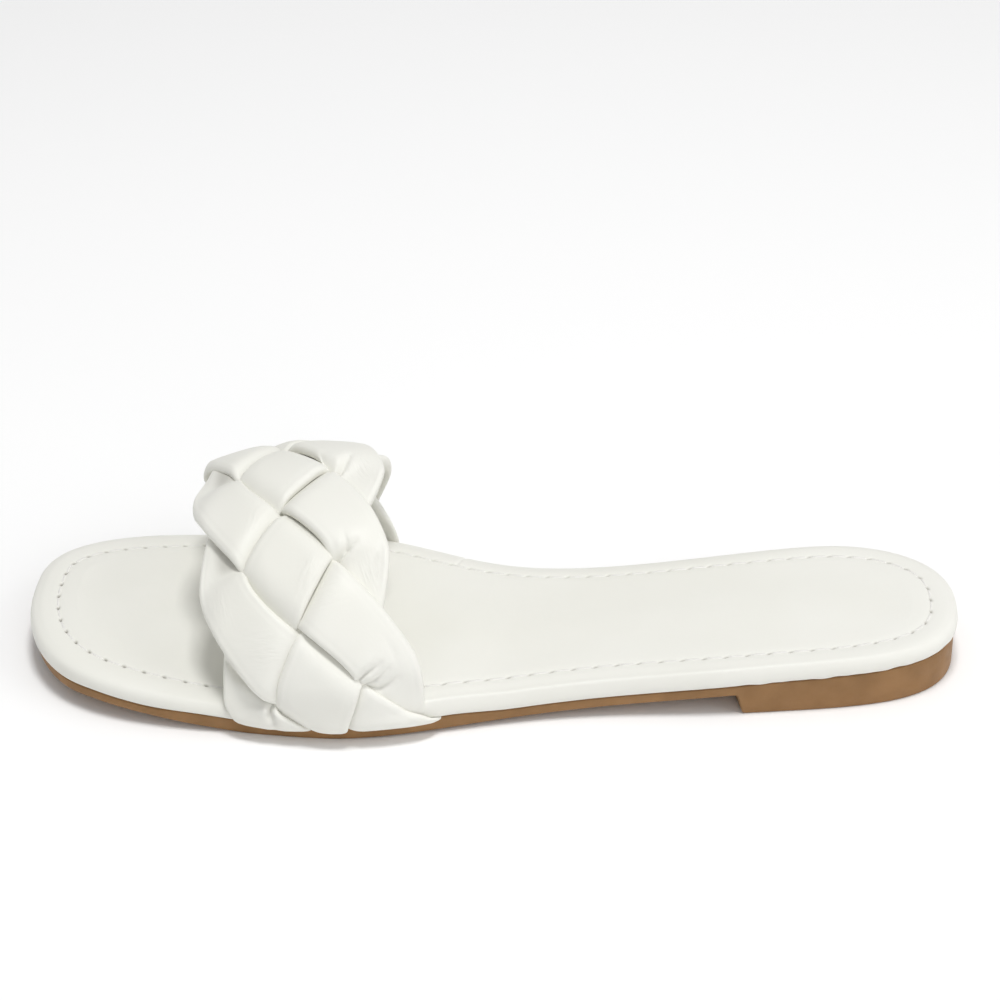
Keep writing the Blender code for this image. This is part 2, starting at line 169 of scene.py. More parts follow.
def rung_faces(start, count, columns, first_new):
    """Faces of a cap made of rungs across a ring: quads between rungs and a fan of triangles at both tips."""
    half = count // 2
    i = np.arange(1, half)
    inner = first_new + np.arange((half - 1) * (columns - 1)).reshape(half - 1, columns - 1)
    rungs = np.column_stack([start + i, inner, start + count - i])
    quads = np.stack([rungs[:-1, :-1], rungs[:-1, 1:], rungs[1:, 1:], rungs[1:, :-1]], axis=-1).reshape(-1, 4)
    tips = []
    for tip, rung in ((start, rungs[0]), (start + half, rungs[-1])):
        tips += np.column_stack([np.full(columns, tip), rung[:-1], rung[1:]]).tolist()
    return quads.tolist() + tips


def add_piece(name, points, faces, material):
    """Smooth mesh piece from points in millimetres, with its faces turned outwards."""
    mesh = bpy.data.meshes.new(name)
    mesh.from_pydata((points * MM).tolist(), [], faces)
    work = bmesh.new()
    work.from_mesh(mesh)
    bmesh.ops.recalc_face_normals(work, faces=work.faces)
    work.to_mesh(mesh)
    work.free()
    mesh.shade_smooth()
    mesh.materials.append(material)
    piece = bpy.data.objects.new(name, mesh)
    bpy.context.scene.collection.objects.link(piece)
    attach(piece, "root")
    return piece


def new_node(material, kind, **values):
    """Shader node of a material with its plain properties and its named sockets set."""
    node = material.node_tree.nodes.new(kind)
    for key, value in values.items():
        if key in node.inputs:
            node.inputs[key].default_value = value
        else:
            setattr(node, key, value)
    return node


def noise_on(material, scale, detail=3.0):
    """Noise in the piece's own coordinates; the scale counts patches per metre."""
    place = new_node(material, "ShaderNodeTexCoord")
    noise = new_node(material, "ShaderNodeTexNoise", Scale=scale, Detail=detail)
    material.node_tree.links.new(place.outputs["Object"], noise.inputs["Vector"])
    return noise.outputs["Fac"]


def between(material, factor, low, high):
    """Number that goes evenly from low to high as a factor crosses the noise's range."""
    node = new_node(material, "ShaderNodeMapRange")
    for socket, value in zip(("From Min", "From Max", "To Min", "To Max"), (*NOISE_RANGE, low, high)):
        node.inputs[socket].default_value = value
    material.node_tree.links.new(factor, node.inputs["Value"])
    return node.outputs["Result"]


def mixed_colour(material, factor, low, high):
    """Colour between two others: an even mix by the factor."""
    node = new_node(material, "ShaderNodeMix", data_type="RGBA")
    node.inputs[MIX_FIRST].default_value = (*low, 1.0)
    node.inputs[MIX_SECOND].default_value = (*high, 1.0)
    material.node_tree.links.new(factor, node.inputs["Factor"])
    return node.outputs[MIX_RESULT]


def raised(material, heights):
    """Chain of bumps, each given as a height socket, a strength and a depth in metres."""
    normal = None
    for height, strength, depth in heights:
        node = new_node(material, "ShaderNodeBump", Strength=strength, Distance=depth)
        material.node_tree.links.new(height, node.inputs["Height"])
        if normal:
            material.node_tree.links.new(normal, node.inputs["Normal"])
        normal = node.outputs["Normal"]
    return normal


def new_material(name):
    """Material with an empty Principled surface; gives the material, its shader and its link maker."""
    material = bpy.data.materials.new(name)
    material.use_nodes = True
    return material, material.node_tree.nodes["Principled BSDF"], material.node_tree.links


def tan_rubber():
    """Matt tan rubber: mottled in small patches, with a fine moulded grain."""
    material, shader, links = new_material("tan_rubber")
    patches = between(material, noise_on(material, *TAN_PATCHES), 0.0, 1.0)
    links.new(mixed_colour(material, patches, *TAN_SHADES), shader.inputs["Base Color"])
    rough = between(material, noise_on(material, RUBBER_ROUGH_PATCHES), *RUBBER_ROUGH)
    links.new(rough, shader.inputs["Roughness"])
    grain = noise_on(material, RUBBER_GRAIN_PATCHES)
    links.new(raised(material, [(grain, *RUBBER_GRAIN)]), shader.inputs["Normal"])
    shader.inputs["Specular IOR Level"].default_value = 0.35
    return material


def smooth_step(u):
    """Rises from 0 to 1 as u does, level at both ends: three times the square less twice the cube."""
    u = np.clip(u, 0, 1)
    return u * u * (3 - 2 * u)


def toe_drop(share):
    """How far the line between wrap and sole lies below the plain seam: a smooth step along the length."""
    return TOE_DROP * smooth_step((share - TOE_DROP_FROM) / TOE_DROP_RUN)


def strap_raise(plan, outer):
    """Lift of the edge by the band's outer foot, behind the foot's middle and before it.
    Each is a product of smooth steps along the sole."""
    steps = [smooth_step((plan[:, 0] - start) / (end - start))
             for start, end in (STRAP_RAISE_FROM, STRAP_RAISE_TURN, STRAP_RAISE_END)]
    lift = STRAP_RAISE * outer * steps[0]
    return lift * (1 - steps[1]), lift * steps[1] * (1 - steps[2])


def sole_shares():
    """Stations along the sole, close at both ends, with a set across the heel breast."""
    shares = (1 - np.cos(np.linspace(0, np.pi, SOLE_STATIONS))) / 2
    breast = (BREAST_LATERAL + BREAST_MEDIAL) / 2 / LENGTH
    off = (shares - breast) * LENGTH
    clear = (off < BREAST_RUN[0] - BREAST_CLEAR) | (off > BREAST_RUN[-1] + BREAST_CLEAR)
    return np.sort(np.concatenate([shares[clear], breast + np.array(BREAST_RUN) / LENGTH])), breast


shares, breast = sole_shares()
near_breast = smooth_step(1 - np.abs(shares - breast) * LENGTH / BREAST_FADE)
half_step = (BREAST_LATERAL - BREAST_MEDIAL) / 2 / LENGTH * near_breast
share, plan, inward = sole_loop(shares + half_step, shares - half_step)
count = len(share)
station = np.minimum(np.arange(count), count - np.arange(count))
past_breast = np.interp((shares[station] - breast) * LENGTH, BREAST_RUN, BREAST_RISE)
plain_top = seam_height(share) - toe_drop(share)
bottom = np.maximum(plain_top - curve_through(SOLE_SHARE, SOLE_THICK, share), 0) * past_breast
top = plain_top + sum(strap_raise(plan, np.arange(count) <= count // 2))
levels = [top - below for below in SOLE_SIDE_BELOW_TOP]
levels += [levels[-1] * (1 - part) + (bottom + SOLE_SIDE_ABOVE_BOTTOM[0]) * part for part in (1 / 3, 2 / 3)]
levels += [bottom + above for above in SOLE_SIDE_ABOVE_BOTTOM]
set_back = TOE_SET_BACK * smooth_step((share - TOE_START) / (1 - TOE_START))
rings = [loop_ring(plan, inward, inset + set_back, level) for inset, level in zip(SOLE_SIDE_INSET, levels)]
under = rung_points(rings[-1], BOTTOM_COLUMNS)
across = np.arange(1, BOTTOM_COLUMNS) / BOTTOM_COLUMNS
under[..., 0] += BREAST_BULGE * 4 * across * (1 - across) * near_breast[1:-1, None]
points = np.concatenate(rings + [under.reshape(-1, 3)])
faces = loop_walls(len(rings), count).tolist()
faces += rung_faces(0, count, 1, 0)
faces += rung_faces((len(rings) - 1) * count, count, BOTTOM_COLUMNS, len(rings) * count)
outsole = add_piece("outsole_rubber", points, faces, tan_rubber())
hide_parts("outsole")

# Footbed
# Board and thin foam wrapped in off-white leather, turned under at the bottom edge.
# The wrap stands up in a rolled rim round the sock and is drawn down into the stitch line.
GAP = 0.3
# Stitch line: its distance from the edge, stitches on each side, points for each, and points to space them by
STITCH_INSET = 7.0
STITCHES_A_SIDE = 48
POINTS_A_STITCH = 20
DENSE_STATIONS = 4001
# Section of the rim, from under its edge over the crest to the stitch line: how far in and how high
RIM_INSET = (2.4, 1.2, 0.5, 0.08, 0.0, 0.12, 0.45, 1.00, 1.7,
             2.4, 2.9, 3.4, 4.5, 5.6, 6.5, 7.0, 7.2, 7.2)
RIM_RISE = (0.0, 0.0, 0.30, 0.90, 1.7, 2.55, 3.28, 3.82, 4.17,
            4.42, 4.57, 4.65, 4.68, 4.63, 4.50, 4.33, 3.9, 3.3)
RIM_ROWS = 50
# The outer side's section, with an upright wall and a creased shoulder, and how far it holds along the sole
WALL_INSET = (2.4, 1.2, 0.5, 0.12, 0.05, 0.12, 0.30, 0.55, 0.85,
              1.15, 1.45, 2.2, 4.0, 5.6, 6.5, 7.0, 7.2, 7.2)
WALL_RISE = (0.0, 0.0, 0.20, 0.70, 1.4, 2.20, 3.00, 3.80, 4.55,
             5.00, 5.13, 5.08, 4.85, 4.60, 4.45, 4.33, 3.9, 3.3)
WALL_SHARE = (0.3, 0.75, 1.0, 1.0, 1.0, 1.0, 0.6, 0.2, 0.0)
WALL_ENDS_POWER = 0.25
# Rows of the section that count as its lower edge: up to this rise and within this inset
EDGE_RISE = 2.0
EDGE_INSET = 2.0
# The stitch line along the length: how much higher and further in it lies than the section says
STITCH_LIFT = (0.0, 0.05, 0.45, 0.7, 0.7, 0.7, 0.6, 0.25, 0.1)
STITCH_IN = (0.2, 0.3, 0.3, 0.4, 0.4, 0.6, 0.8, 1.2, 0.5)
STITCH_PULL_FROM = 1.5
STITCH_PULL_RUN = 5.0
# Needle holes: depth, half length along the line and half width across it
HOLE_DEPTH = 0.9
HOLE_RUN = 0.48
HOLE_REACH = 0.36
# Needle holes lie aslant, one way behind the band and the other way before it, and are opened less behind it
HOLE_SLANT = {"behind": -1.3, "before": 0.4, "from_x": 30.0}
HOLE_SHARE = (0.0, 0.6, 0.8, 1.0)
HOLE_OPEN = {1: (0.6, 0.6, 1.0, 0.9), -1: (0.6, 0.30, 0.45, 0.9)}
# Rise at which the shifts of the lower edge, at the toe and before the outer foot, have faded out
TOE_DROP_REACH = 2.2
# Recess in the lower edge over each foot of the band: rise, soft ends, and where along the sole it lies
RECESS_RISE = 1.7
RECESS_SOFT = 4.0
STRAP_FEET = {1: (16.5, 58.0), -1: (33.0, 74.0)}
# Slight waves of the lower edge round the heel: height, where they fade, and each one's length, strength
# and start
HEEL_WAVE = 0.10
HEEL_WAVE_END = -62.0
HEEL_WAVE_FADE = 30.0
HEEL_WAVES = ((2.3, 1.0, 0.0), (1.3, 0.8, 1.0), (0.9, 0.7, 2.0))
# Butt join of the wrap on the inner side
JOIN_X = 8.5
JOIN_HALF = 0.45
JOIN_DEPTH = 0.22
# White leather: shades, patches a metre, roughness, slack creases with their detail and bump, pebble grain
LEATHER_SHADES = ((0.800, 0.795, 0.735), (0.830, 0.825, 0.775))
LEATHER_PATCHES = 22.0
LEATHER_ROUGH_PATCHES = 160.0
LEATHER_ROUGH = (0.44, 0.54)
SLACK_PATCHES = (90.0, 4.0)
SLACK_BUMP = (0.10, 0.0008)
PEBBLES = 1300.0
PEBBLE_DEPTH = 0.0001
# Colour of the shade painted into needle holes and where a strip passes under another
PAINTED_SHADE = (0.16, 0.14, 0.11, 1.0)


def even_shares(side):
    """Shares along one side that space the stitch line evenly, by its length from heel tip to toe tip."""
    dense = (1 - np.cos(np.linspace(0, np.pi, DENSE_STATIONS))) / 2
    _, edge, into = sole_loop(dense, dense)
    line = edge + STITCH_INSET * into
    line = line[:DENSE_STATIONS] if side > 0 else np.concatenate([line[:1], line[:DENSE_STATIONS - 2:-1]])
    run = np.concatenate([[0], np.cumsum(np.hypot(*np.diff(line, axis=0).T))])
    return np.interp(np.linspace(0, run[-1], STITCHES_A_SIDE * POINTS_A_STITCH + 1), run, dense)


def section_rows(insets, rises, rows):
    """Smooth section through a table of insets and rises: a spline by the length along the table."""
    run = np.concatenate([[0], np.cumsum(np.hypot(np.diff(insets), np.diff(rises)))])
    even = np.linspace(0, run[-1], rows)
    return curve_through(run, insets, even), curve_through(run, rises, even)


def needle_holes(index, inset):
    """Depth share of the needle holes: a bell along the line at every stitch, times a bell across the line.
    The hole runs aslant, as the needle's blade stands. The same share also paints shade into the hole."""
    slant = np.where(plan[:, 0] < HOLE_SLANT["from_x"], HOLE_SLANT["behind"], HOLE_SLANT["before"])
    along = ((index / POINTS_A_STITCH + 0.5) % 1 - 0.5) * stitch_pitch - slant * (inset - STITCH_INSET)
    return hole_open * np.exp(-(along / HOLE_RUN) ** 2 - ((inset - STITCH_INSET) / HOLE_REACH) ** 2)


def drawn_in(inset, rise):
    """Inset and rise of a section's row all round: moved by the stitch line's tables, by a smooth step
    towards the line."""
    pull = smooth_step((inset - STITCH_PULL_FROM) / STITCH_PULL_RUN)
    return inset + pull * stitch_in, rise + pull * stitch_lift


def strap_foot(loop_plan, index):
    """1 along the two stretches of the edge where the band passes under the footbed, else 0; soft ends."""
    x = loop_plan[:, 0]
    inside = np.zeros(len(x))
    for side, (start, end) in STRAP_FEET.items():
        on_side = (index <= len(x) // 2) if side > 0 else (index > len(x) // 2)
        window = smooth_step((x - start) / RECESS_SOFT + 1) * smooth_step((end - x) / RECESS_SOFT + 1)
        inside += on_side * window
    return inside


def white_leather(name, grain_strength=0.10, further_bumps=None):
    """Off-white smooth leather: faint warm patches, fine pebble grain, soft creases and a light finish coat.
    Where the piece carries a hole attribute the colour falls towards a dark painted shade, the shade painted
    into needle holes and under crossings."""
    material, shader, links = new_material(name)
    patches = between(material, noise_on(material, LEATHER_PATCHES), 0.0, 1.0)
    leather = mixed_colour(material, patches, *LEATHER_SHADES)
    hole = new_node(material, "ShaderNodeAttribute", attribute_name="hole")
    painted_shade_mix = new_node(material, "ShaderNodeMix", data_type="RGBA")
    painted_shade_mix.inputs[MIX_SECOND].default_value = PAINTED_SHADE
    links.new(leather, painted_shade_mix.inputs[MIX_FIRST])
    links.new(hole.outputs["Fac"], painted_shade_mix.inputs["Factor"])
    links.new(painted_shade_mix.outputs[MIX_RESULT], shader.inputs["Base Color"])
    rough = between(material, noise_on(material, LEATHER_ROUGH_PATCHES), *LEATHER_ROUGH)
    links.new(rough, shader.inputs["Roughness"])
    place = new_node(material, "ShaderNodeTexCoord")
    pebble = new_node(material, "ShaderNodeTexVoronoi", Scale=PEBBLES)
    links.new(place.outputs["Object"], pebble.inputs["Vector"])
    slack = noise_on(material, *SLACK_PATCHES)
    bumps = [(slack, *SLACK_BUMP), (pebble.outputs["Distance"], grain_strength, PEBBLE_DEPTH)]
    bumps += further_bumps(material) if further_bumps else []
    links.new(raised(material, bumps), shader.inputs["Normal"])
    shader.inputs["Specular IOR Level"].default_value = 0.27
    shader.inputs["Coat Weight"].default_value = 0.04
    shader.inputs["Coat Roughness"].default_value = 0.35
    return material


def set_painted_shade(piece, values):
    """Writes how much painted shade each point gets, for the material: deep in a needle hole or under a
    crossing.
    """
    attribute = piece.data.attributes.new("hole", "FLOAT", "POINT")
    attribute.data.foreach_set("value", values.astype(np.float32))


share, plan, inward = sole_loop(even_shares(1), even_shares(-1))
count = len(share)
index = np.arange(count)
stitch_lift = curve_through(SOLE_SHARE, STITCH_LIFT, share)
stitch_in = curve_through(SOLE_SHARE, STITCH_IN, share)
open_by_side = [np.interp(share, HOLE_SHARE, HOLE_OPEN[side]) for side in (1, -1)]
hole_open = np.where(index <= count // 2, *open_by_side)
stitch_line = plan + (STITCH_INSET + stitch_in)[:, None] * inward
stitch_pitch = np.hypot(*np.diff(stitch_line, axis=0).T).sum() / (2 * STITCHES_A_SIDE)
raise_behind, raise_before = strap_raise(plan, index <= count // 2)
base = seam_height(share) + GAP + raise_behind
tucked = strap_foot(plan, index) * RECESS_RISE
loop_run = np.concatenate([[0], np.cumsum(np.hypot(*np.diff(plan, axis=0).T))])
ripple = sum(strength * np.sin(loop_run / wave + start) for wave, strength, start in HEEL_WAVES)
ripple *= HEEL_WAVE * smooth_step((HEEL_WAVE_END - plan[:, 0]) / HEEL_WAVE_FADE + 0.5)
join = JOIN_DEPTH * np.exp(-((plan[:, 0] - JOIN_X) / JOIN_HALF) ** 2) * (index > count // 2)
outer_side = np.sin(np.pi * np.clip(index / (count // 2), 0, 1)) ** WALL_ENDS_POWER
upright = np.clip(curve_through(SOLE_SHARE, WALL_SHARE, share), 0, 1) * outer_side
rounded = zip(*section_rows(RIM_INSET, RIM_RISE, RIM_ROWS))
walled = zip(*section_rows(WALL_INSET, WALL_RISE, RIM_ROWS))
rings, hole_shades = [], []
for (inset, rise), (wall_inset, wall_rise) in zip(rounded, walled):
    inset = inset + upright * (wall_inset - inset)
    rise = rise + upright * (wall_rise - rise)
    hole = needle_holes(index, inset)
    lower = np.clip(1 - rise / EDGE_RISE, 0, 1) * (inset < EDGE_INSET)
    pulled_inset, pulled_rise = drawn_in(inset, rise)
    above = rise > EDGE_RISE
    height = base + np.maximum(np.where(above, pulled_rise, rise), tucked)
    height += ripple * lower - HOLE_DEPTH * hole - join * above
    height -= (toe_drop(share) - raise_before) * np.clip(1 - rise / TOE_DROP_REACH, 0, 1)
    ring_inset = np.where(above, pulled_inset, inset) + join * (inset < EDGE_INSET)
    rings.append(loop_ring(plan, inward, ring_inset, height))
    hole_shades.append(hole)
points = np.concatenate(rings)
faces = loop_walls(len(rings), count).tolist()
faces += rung_faces(0, count, 1, 0) + rung_faces((len(rings) - 1) * count, count, 1, 0)
footbed = add_piece("footbed_wrap", points, faces, white_leather("footbed_leather"))
# The needle holes' shares also paint shade into the leather there, through the hole attribute.
set_painted_shade(footbed, np.concatenate(hole_shades))
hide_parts("footbed")

# Insole
# The sock: one panel of the same off-white leather over thin foam, laid inside the rim.
# Its edge is drawn down into the stitch line beside the rim.
SOCK_INSET = (6.85, 6.88, 7.05, 7.6, 8.5, 10.0, 12.0)
SOCK_RISE = (3.4, 3.9, 4.28, 4.48, 4.60, 4.66, 4.68)
SOCK_ROWS = 22
SOCK_COLUMNS = 16
SOCK_CROWN = 0.30
SOCK_CROWN_RUN = 20.0
SOCK_GRAIN = 0.14
rings, hole_shades = [], []
for inset, rise in zip(*section_rows(SOCK_INSET, SOCK_RISE, SOCK_ROWS)):
    hole = needle_holes(index, inset)
    ring_inset, ring_rise = drawn_in(inset, rise)
    rings.append(loop_ring(plan, inward, ring_inset, base + ring_rise - HOLE_DEPTH * hole))
    hole_shades.append(hole)
panel = rung_points(rings[-1], SOCK_COLUMNS)
across = np.arange(1, SOCK_COLUMNS) / SOCK_COLUMNS
wide = np.abs(rings[-1][1:count // 2, 1] - rings[-1][:count // 2:-1, 1])
from_side = np.minimum(across, 1 - across) * wide[:, None]
from_tip = np.minimum(panel[..., 0] - rings[-1][0, 0], rings[-1][count // 2, 0] - panel[..., 0])
panel[..., 2] += SOCK_CROWN * smooth_step(from_side / SOCK_CROWN_RUN) * smooth_step(from_tip / SOCK_CROWN_RUN)
points = np.concatenate(rings + [panel.reshape(-1, 3)])
faces = loop_walls(len(rings), count).tolist() + rung_faces(0, count, 1, 0)
faces += rung_faces((len(rings) - 1) * count, count, SOCK_COLUMNS, len(rings) * count)
insole = add_piece("insole_sock", points, faces, white_leather("insole_leather", SOCK_GRAIN))
# The needle holes' shares paint shade into the sock's leather; the panel gets none.
set_painted_shade(insole, np.concatenate(hole_shades + [np.zeros(panel.shape[0] * panel.shape[1])]))
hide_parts("insole")

# Stitching
# A lockstitch of white thread round the sock, one short length between each two needle holes.
# Each length lies in the valley of the stitch line and dips into a hole at both ends.
THREAD_RADIUS = 0.42
THREAD_RISE = 4.26
THREAD_DIP = 0.50
THREAD_STEPS = 8
THREAD_SIDES = 6
THREAD_ENDS = (1.5, 18.5)
THREAD_TAPER = 0.45
THREAD_END_POWER = 6
# White thread: shades, patches a metre, and the twist of its plies with its bump strength and depth
THREAD_SHADES = ((0.74, 0.73, 0.69), (0.86, 0.85, 0.82))
THREAD_PATCHES = 900.0
TWIST_PATCHES = 3500.0
TWIST_BUMP = (0.3, 0.0001)


def white_thread():
    """White sewing thread: matt, with the twist of its plies as fine noise."""
    material, shader, links = new_material("white_thread")
    shade = mixed_colour(material, noise_on(material, THREAD_PATCHES), *THREAD_SHADES)
    links.new(shade, shader.inputs["Base Color"])
    twist = noise_on(material, TWIST_PATCHES)
    links.new(raised(material, [(twist, *TWIST_BUMP)]), shader.inputs["Normal"])
    shader.inputs["Roughness"].default_value = 0.65
    return material


def thread_lengths():
    """Tubes along the stitch line: rings of points round a path that sinks and thins towards its ends.
    Both follow a power of the distance from the length's middle."""
    step = np.linspace(-1, 1, THREAD_STEPS)
    start = np.arange(2 * STITCHES_A_SIDE)[:, None] * POINTS_A_STITCH
    at = start + (THREAD_ENDS[0] + THREAD_ENDS[1]) / 2 + step * (THREAD_ENDS[1] - THREAD_ENDS[0]) / 2
    closed = np.arange(count + 1)
    path = [np.interp(at, closed, np.append(values, values[0]), period=count) for values in stitch_line.T]
    into = [np.interp(at, closed, np.append(values, values[0]), period=count) for values in inward.T]
    valley = base + stitch_lift
    near_end = step ** THREAD_END_POWER
    height = np.interp(at, closed, np.append(valley, valley[0]), period=count)
    height = height + THREAD_RISE - THREAD_DIP * near_end
    turn = np.arange(THREAD_SIDES) / THREAD_SIDES * 2 * np.pi
    radius = THREAD_RADIUS * (1 - THREAD_TAPER * near_end)[None, :, None]
    x = path[0][..., None] + radius * np.cos(turn) * into[0][..., None]
    y = path[1][..., None] + radius * np.cos(turn) * into[1][..., None]
    z = height[..., None] + radius * np.sin(turn)
    return np.stack([x, y, z], axis=-1)


tubes = thread_lengths()
lengths = len(tubes)
corner = np.arange(tubes.size // 3).reshape(lengths, THREAD_STEPS, THREAD_SIDES)
after = np.roll(corner, -1, axis=2)
faces = np.stack([corner[:, :-1], after[:, :-1], after[:, 1:], corner[:, 1:]], axis=-1)
faces = faces.reshape(-1, 4).tolist()
faces += corner[:, 0].tolist() + corner[:, -1].tolist()
stitching = add_piece("stitching", tubes.reshape(-1, 3), faces, white_thread())

# Braided band
# Four padded strips of off-white leather, each folded over thin foam and plaited into one flat braid.
# The braid arches over the instep, and its flattened ends turn in between footbed and outsole.
ARCH_TOP = 46.2
ARCH_RISE = 42.6
ARCH_POWER = 2.2
ARCH_SKEW = -6.0
ARCH_FLARE = 0.056
ARCH_HALF = 46.5
ARC_SAMPLES = 721
# Feet of the arch: how far they stand out from the sole's edge, draw in at their corners and rise
FOOT_OUT_LATERAL = 1.8
FOOT_OUT_MEDIAL = 3.2
FOOT_TUCK = 1.8
FOOT_RISE_LATERAL = 1.3
FOOT_RISE_MEDIAL = 0.5
# The band along its length: where its middle lies, how its rows lean, and how its two edges spread and sink
BAND_HALF = 28.0
BAND_SHARE = (0.0, 0.25, 0.5, 0.75, 1.0)
BAND_TABLE = {
    "forward": (39.1, 49.3, 55.6, 57.1, 55.0),
    "lean": (0.29, 0.18, 0.08, -0.01, -0.09),
    "toe_spread": (1.11, 1.05, 1.01, 1.00, 0.97),
    "toe_sink": (0.0, 2.8, 3.6, 3.4, 0.0),
    "heel_spread": (1.045, 0.965, 0.99, 1.00, 0.97),
    "droop": (0.0, 3.2, 3.5, 2.5, 0.0),
}
TOE_SINK_FROM = 5.0
TOE_SINK_RUN = 19.0
# The braid: its columns across the band, its rows along it, and how a strand turns at the edges
COLUMN_PLACE = (-2.5, -1.0, 0.0, 1.0, 2.5)
COLUMN_ACROSS = (-24.5, -11.9, 0.0, 13.0, 29.0)
STRANDS = 4
ROW_LENGTH = 33.8
FIRST_ROW = 27.4
ROW_PASSES = 12
TURN_ROUND = 0.93
TURN_SCALE = 1.06
TURN_NARROW = 0.24
# One strip: its section, how it rises over and sinks under, and the points of its grid
STRIP_HALF_THICK = 1.8
STRIP_LIFT = 1.8
STRIP_SQUARE = 8.0
STRIP_ROUND = 2.6
STRIP_WIDTH = 0.985
STRIP_SUNK = 0.10
STRIP_PROUD = 0.70
STRIP_STEPS = 440
STRIP_ABOVE = 64
STRIP_BELOW = 16
STRIP_FLAT = 3.0
STRIP_GRAIN = 0.08
LEVEL_SHIFT = 8.0
# Folds that each strip keeps where it is drawn round an edge: strand, then places along and across
# the band with the fold's depth and half width at each
FOLDS = (
    (1, ((14.5, 11.8, 1.7, 0.45), (16.3, 14.5, 1.6, 0.65), (17.8, 17.7, 0.7, 0.90), (18.8, 19.5, 0.1, 1.0))),
    (1, ((13.2, 12.8, 1.4, 0.45), (14.2, 16.0, 1.2, 0.60), (16.5, 19.9, 0.4, 0.90))),
    (1, ((12.4, 13.3, 1.2, 0.45), (11.7, 16.3, 1.1, 0.60), (13.7, 21.2, 0.3, 0.90))),
    (1, ((17.0, 22.5, 0.2, 1.3), (20.6, 22.3, 0.4, 1.5), (24.5, 21.4, 0.1, 1.6))),
    (2, ((44.6, 12.5, 1.6, 0.45), (47.3, 15.5, 1.4, 0.55), (49.4, 18.3, 0.6, 0.70), (50.6, 19.3, 0.1, 0.8))),
    (2, ((47.8, 16.0, 0.8, 0.50), (49.5, 16.2, 0.6, 0.60), (52.0, 15.8, 0.1, 0.8))),
    (2, ((44.0, 22.0, 0.2, 1.2), (47.5, 24.0, 0.3, 1.4), (51.0, 24.0, 0.1, 1.4))),
    (3, ((75.6, 13.6, 1.8, 0.45), (77.1, 15.2, 1.7, 0.50), (79.8, 16.9, 1.3, 0.60), (84.3, 18.6, 0.2, 0.8))),
    (3, ((7.8, -11.8, 2.4, 0.50), (6.5, -13.0, 2.2, 0.55), (4.6, -13.7, 1.4, 0.60), (2.6, -13.5, 0.6, 0.80))),
    (3, ((17.5, -21.4, 0.7, 0.9), (14.2, -19.6, 1.2, 1.0), (11.2, -16.4, 1.2, 1.0), (8.6, -11.8, 1.3, 0.9))),
    (0, ((103.5, 14.5, 1.2, 0.45), (106.0, 17.0, 1.0, 0.6), (109.5, 18.5, 0.4, 1.0))),
    (1, ((54.0, -3.5, 0.25, 0.8), (60.0, -1.5, 0.15, 1.0))),
    (3, ((38.5, 7.0, 0.25, 0.8), (41.5, 9.0, 0.20, 0.9))),
    (1, ((96.5, -21.3, -1.8, 2.4), (92.0, -20.0, -2.0, 2.4), (87.0, -17.5, -1.7, 2.4),
         (81.0, -14.2, -1.3, 2.2))),
    (3, ((84.0, 10.3, 0.6, 0.8), (82.0, 11.0, 1.7, 0.9), (80.3, 11.8, 2.1, 1.0), (78.6, 12.6, 1.8, 0.9))),
)
# Shape of a fold: its trough's power, and its lip's height, place and half width in half widths of the fold
FOLD_POWER = 1.4
FOLD_LIP = 0.16
FOLD_LIP_AT = 3.0
FOLD_LIP_HALF = 2.0
# Patches of fine wrinkles: strand, middle along and across the band, heading of the lines, half length, half
# width and strength
WRINKLES = (
    (1, (58.5, -5.5), (8.5, 3.1), 6.0, 3.0, 0.55),
    (1, (36.0, 8.8), (1.7, 6.6), 5.0, 4.0, 0.6),
    (1, (15.0, 21.0), (3.0, 5.0), 5.0, 5.0, 0.5),
    (0, (21.9, -9.9), (1.0, 6.2), 6.0, 4.0, 0.6),
    (0, (34.0, -19.0), (1.0, 0.0), 8.0, 2.5, 0.5),
    (2, (40.8, 21.7), (-7.5, 0.9), 6.0, 4.0, 0.8),
    (2, (66.8, 7.0), (2.1, 6.1), 5.0, 2.5, 0.7),
    (3, (41.5, 6.0), (6.6, 4.1), 6.0, 2.5, 0.8),
    (3, (81.0, 22.5), (-7.0, 3.2), 6.0, 5.0, 1.0),
    (3, (12.0, -18.0), (1.0, 0.3), 6.0, 4.0, 0.5),
    (0, (108.0, 20.0), (-5.0, 2.0), 6.0, 4.0, 0.8),
)
WRINKLE_WAVE = 0.9
WRINKLE_STRETCH = 5.0
WRINKLE_APART = 9.0
WRINKLE_BUMP = (0.55, 0.0006)
# Painted shade where a strip passes under another: how dark, from which level down, up to which column
# towards the two edges, and from how far above the feet
UNDER_PAINTED_SHADE = 0.32
UNDER_FROM = 0.30
UNDER_RUN = 0.60
UNDER_HEEL_EDGE = 1.4
UNDER_TOE_EDGE = -1.8
UNDER_EDGE_FADE = 0.4
UNDER_FOOT = 15.0
UNDER_FOOT_FADE = 10.0
# A low bead along a strip's edge and the groove beside it: height, place and half width on its half section
EDGE_BEAD = {"height": 0.05, "at": 0.87, "half": 0.05}
EDGE_GROOVE = {"height": 0.05, "at": 0.74, "half": 0.07}
# Towards the outer foot a strip narrows on its toe side and the rows close up
FOOT_NARROW = 0.22
FOOT_NARROW_RUN = 16.0
FOOT_NARROW_FROM = -17.0
FOOT_NARROW_FADE = 6.0
FOOT_CLOSE = 0.30
FOOT_CLOSE_RUN = 10.0
FOOT_CLOSE_EDGE = 3.0
FOOT_CLOSE_FADE = 14.0
# The last strip's heel edge runs on as a short tail at the outer foot: strand, reach, run up the band, lift
TAIL_STRAND = 0
TAIL_REACH = 4.6
TAIL_RUN = 5.0
TAIL_LIFT = 1.3
